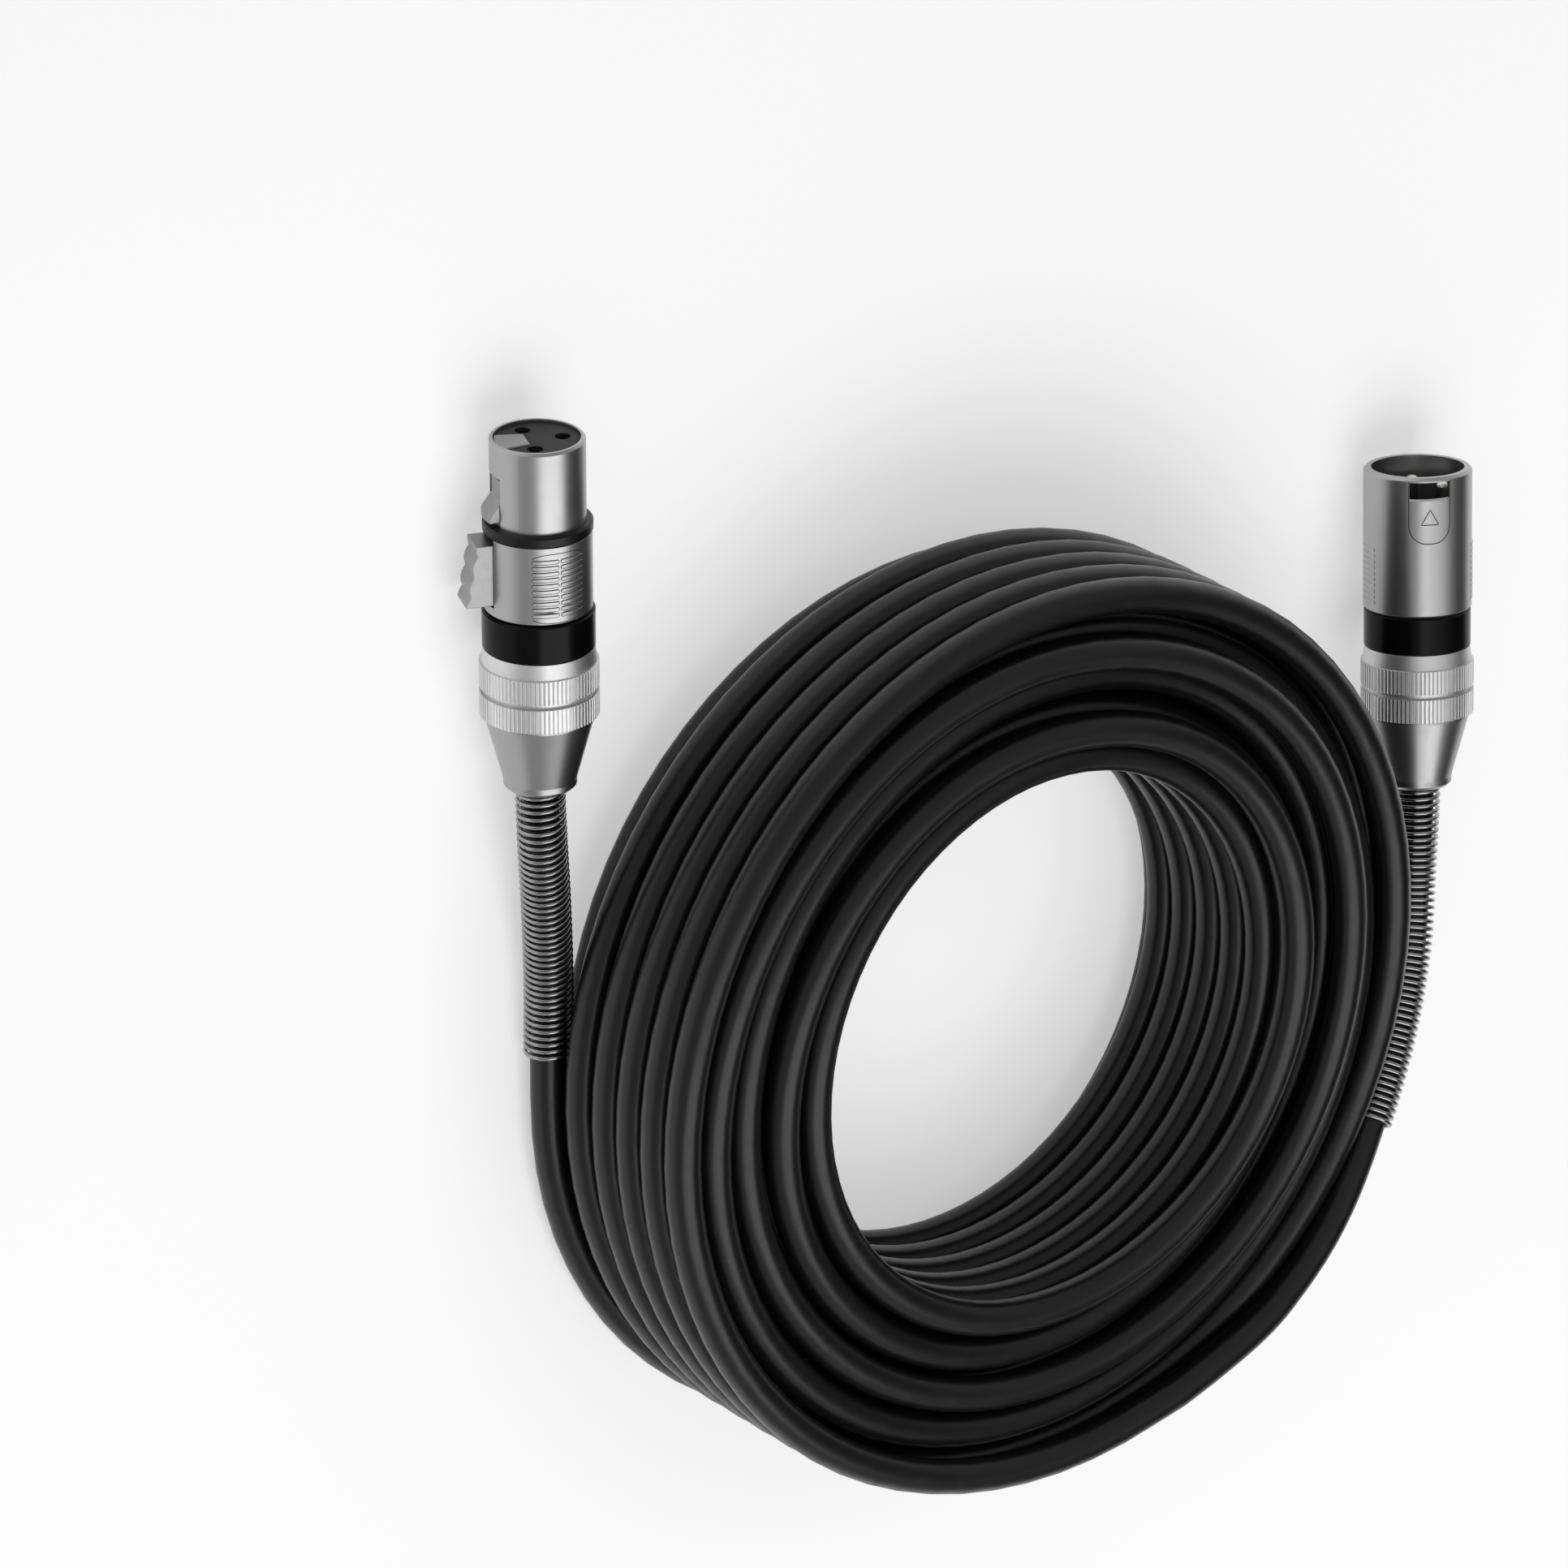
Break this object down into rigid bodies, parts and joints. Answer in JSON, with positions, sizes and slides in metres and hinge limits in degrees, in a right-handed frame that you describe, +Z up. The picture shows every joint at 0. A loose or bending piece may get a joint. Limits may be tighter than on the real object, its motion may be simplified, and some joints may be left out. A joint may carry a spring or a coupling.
{
  "type": "coiled three-pole microphone cable",
  "caption": "Black microphone cable wound into a flat round coil, with a metal latching socket on one end, a metal plug on the other and spring strain reliefs.",
  "frame": {"origin": "on the floor, under the middle of the set's bounding box", "axes": "+Z up along the coil's axis, +Y the way both connectors point, +X from the socket's side to the plug's side"},
  "size_m": [0.2134, 0.2042, 0.045],
  "materials": {
    "jacket": "soft black PVC jacket, satin",
    "spring": "bright nickel-plated spring wire",
    "nickel": "satin nickel-plated die casting",
    "gasket": "black rubber ring",
    "insert": "black moulded insert",
    "latch": "satin nickel-plated lever",
    "band": "glossy black ring",
    "knurl": "bright machined knurling",
    "boot": "satin turned metal",
    "clamp": "natural moulded clamp",
    "wire": "insulated wire",
    "contact": "gold-plated contact",
    "pin": "plated contact pin"
  },
  "bodies": {
    "cable_set": {"cable_coil": "jacket", "coil_core": "jacket", "socket_tail": "jacket", "plug_tail": "jacket", "socket_spring": "spring", "plug_spring": "spring", "socket_shell": "nickel", "socket_gasket": "gasket", "socket_insert": "insert", "socket_contact_1": "contact", "socket_contact_2": "contact", "socket_contact_3": "contact", "socket_latch_pin": "latch", "socket_code_ring": "band", "socket_collar": "knurl", "socket_wires": "wire", "plug_shell": "nickel", "plug_insert": "insert", "plug_pin_1": "pin", "plug_pin_2": "pin", "plug_pin_3": "pin", "plug_code_ring": "band", "plug_collar": "knurl", "plug_wires": "wire"},
    "socket_latch": {"socket_latch": "latch"},
    "socket_clamp": {"socket_clamp": "clamp"},
    "socket_boot": {"socket_boot": "boot"},
    "plug_clamp": {"plug_clamp": "clamp"},
    "plug_boot": {"plug_boot": "boot"}
  },
  "joints": [
    {"name": "latch_press", "type": "hinge", "parent": "cable_set", "child": "socket_latch", "pos_m": [-0.10004, 0.0756, 0.00732], "axis": [0.3746, 0, -0.9272], "range_deg": [0, 4], "stiffness_Nm_per_rad": 0.05, "springref_deg": -1.72},
    {"name": "socket_clamp_slide", "type": "slide", "parent": "cable_set", "child": "socket_clamp", "axis": [0, -1, 0], "range_m": [0, 0.005]},
    {"name": "socket_boot_turn", "type": "hinge", "parent": "socket_clamp", "child": "socket_boot", "pos_m": [-0.09364, 0.0502, 0.0099], "axis": [0, -1, 0], "range_deg": [0, 1800]},
    {"name": "plug_clamp_slide", "type": "slide", "parent": "cable_set", "child": "plug_clamp", "axis": [-0.0864, -0.9877, 0.1305], "range_m": [0, 0.005]},
    {"name": "plug_boot_turn", "type": "hinge", "parent": "plug_clamp", "child": "plug_boot", "pos_m": [0.09322, 0.00108, 0.01558], "axis": [-0.0864, -0.9877, 0.1305], "range_deg": [0, 1800]}
  ],
  "couplings": [
    {"joint": "socket_boot_turn", "follows": "socket_clamp_slide", "rad_per_m": 6283.1},
    {"joint": "plug_boot_turn", "follows": "plug_clamp_slide", "rad_per_m": 6283.1}
  ]
}
